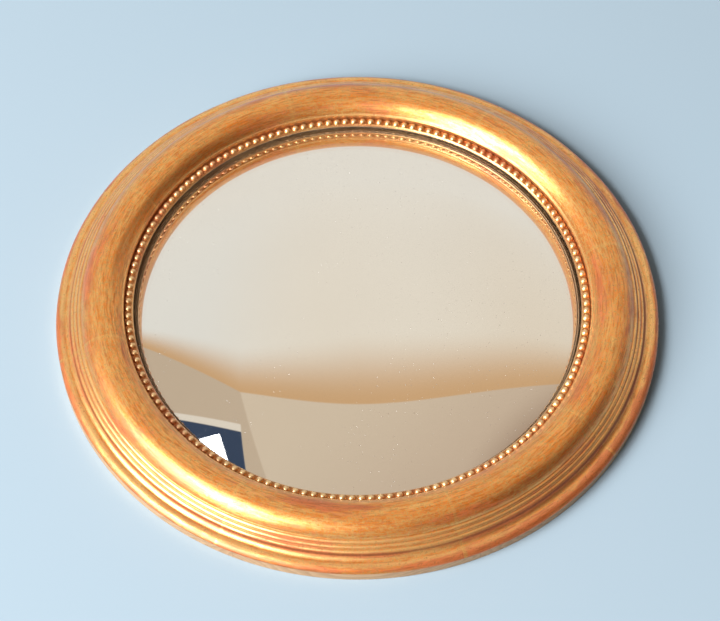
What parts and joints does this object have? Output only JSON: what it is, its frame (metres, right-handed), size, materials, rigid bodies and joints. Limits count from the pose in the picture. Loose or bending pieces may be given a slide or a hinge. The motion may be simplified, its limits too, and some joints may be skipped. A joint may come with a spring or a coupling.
{
  "type": "convex mirror",
  "caption": "Round convex wall mirror with a gilded wooden frame: bulging glass, row of pearls at the sight edge, broad cushion moulding, fine reeds and a rounded outer edge.",
  "frame": {"origin": "middle of the back, on the plane that the back lies on", "axes": "+Z out of the front of the mirror, along the axis of the ring; +Y is up when the mirror hangs; the mirror lies face up on its back"},
  "size_m": [0.3783, 0.3782, 0.0464],
  "materials": {
    "ring_wood": "bare turned softwood, waxed side wall",
    "gilding": "brass leaf over red bole and gesso, worn, satin",
    "clear_glass": "polished clear glass",
    "silvering": "silver coat on the rear face, backing paint behind",
    "hardboard": "brown hardboard, smooth",
    "cork": "agglomerated cork",
    "hanger_steel": "zinc plated, slightly dull"
  },
  "bodies": {
    "mirror": {"frame_segment_1": "ring_wood", "frame_segment_2": "ring_wood", "frame_segment_3": "ring_wood", "frame_segment_4": "ring_wood", "frame_segment_5": "ring_wood", "frame_segment_6": "ring_wood", "frame_segment_7": "ring_wood", "frame_segment_8": "ring_wood", "joint_splines": "ring_wood", "gesso_coat": "gilding", "pearl_strip_1": "gilding", "pearl_strip_2": "gilding", "pearl_strip_3": "gilding", "pearl_strip_4": "gilding", "mirror_glass": "clear_glass", "silvering": "silvering", "packing_strip_1": "cork", "packing_strip_2": "cork", "packing_strip_3": "cork", "packing_strip_4": "cork", "backing_board": "hardboard", "framing_points": "hanger_steel", "hanger_strap": "hanger_steel", "hanger_screw": "hanger_steel"},
    "hanger_ring": {"hanger_ring": "hanger_steel"}
  },
  "joints": [
    {"name": "hanger_ring_hinge", "type": "hinge", "parent": "mirror", "child": "hanger_ring", "pos_m": [0, 0.171, 0.00365], "axis": [-1, 0, 0], "range_deg": [-12, 138]}
  ]
}
